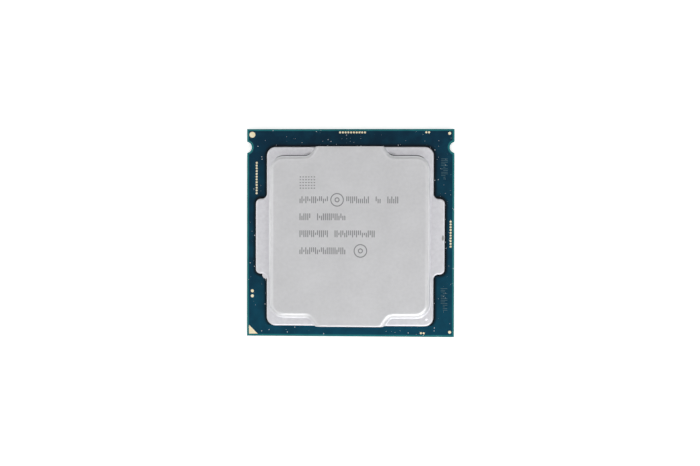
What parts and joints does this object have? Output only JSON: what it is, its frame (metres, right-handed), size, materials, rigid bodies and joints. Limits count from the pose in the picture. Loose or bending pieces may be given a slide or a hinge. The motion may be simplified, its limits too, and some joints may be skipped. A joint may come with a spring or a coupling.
{
  "type": "desktop processor",
  "caption": "Square circuit board with gold contact lands and small capacitors underneath, and a silicon die under a nickel-plated lid with a raised plateau and two side ears.",
  "frame": {"origin": "below the centre of the board, on the plane that the underside capacitors rest on", "axes": "+Z out of the lid, +Y towards the end of the board with the two key notches, +X to the right with the lid up"},
  "size_m": [0.0376, 0.0376, 0.005],
  "materials": {
    "lid_nickel": "satin nickel plate on copper, fine grain",
    "solder_mask": "glossy dark teal solder mask",
    "copper": "plain copper",
    "buildup_resin": "dark resin, seen at the edge",
    "glass_laminate": "glass-fibre laminate, cut edge",
    "black_sealant": "black silicone",
    "silicon": "polished silicon",
    "paste": "grey paste",
    "solder": "reflowed solder",
    "underfill_resin": "dark epoxy",
    "ceramic": "fired brown ceramic",
    "tinned_metal": "matte tin",
    "gold": "immersion gold"
  },
  "bodies": {
    "root": {"bottom_buildup": "buildup_resin", "bottom_copper_plane": "copper", "bottom_solder_mask": "solder_mask", "capacitor_bodies_far_row": "ceramic", "capacitor_bodies_lower_centre": "ceramic", "capacitor_bodies_lower_left": "ceramic", "capacitor_bodies_lower_right": "ceramic", "capacitor_bodies_lower_row": "ceramic", "capacitor_bodies_near_row": "ceramic", "capacitor_bodies_upper_centre": "ceramic", "capacitor_bodies_upper_left": "ceramic", "capacitor_bodies_upper_right": "ceramic", "capacitor_bodies_upper_row": "ceramic", "capacitor_pads": "gold", "capacitor_solder": "solder", "capacitor_terminals_far_row": "tinned_metal", "capacitor_terminals_lower_centre": "tinned_metal", "capacitor_terminals_lower_left": "tinned_metal", "capacitor_terminals_lower_right": "tinned_metal", "capacitor_terminals_lower_row": "tinned_metal", "capacitor_terminals_near_row": "tinned_metal", "capacitor_terminals_upper_centre": "tinned_metal", "capacitor_terminals_upper_left": "tinned_metal", "capacitor_terminals_upper_right": "tinned_metal", "capacitor_terminals_upper_row": "tinned_metal", "contact_lands_lower": "gold", "contact_lands_upper": "gold", "core_vias": "copper", "fiducial_bottom_right": "gold", "fiducial_top_right": "gold", "heat_spreader": "lid_nickel", "large_fiducial": "gold", "lid_sealant": "black_sealant", "pin_one_marker": "gold", "probe_pads": "gold", "silicon_die": "silicon", "solder_bumps": "solder", "substrate_core": "glass_laminate", "test_column_left": "gold", "test_column_right": "gold", "test_pair_bottom": "gold", "test_pair_left": "gold", "test_pair_top": "gold", "test_row_top": "gold", "thermal_paste": "paste", "top_buildup": "buildup_resin", "top_copper_plane": "copper", "top_solder_mask": "solder_mask", "underfill": "underfill_resin"}
  },
  "joints": []
}
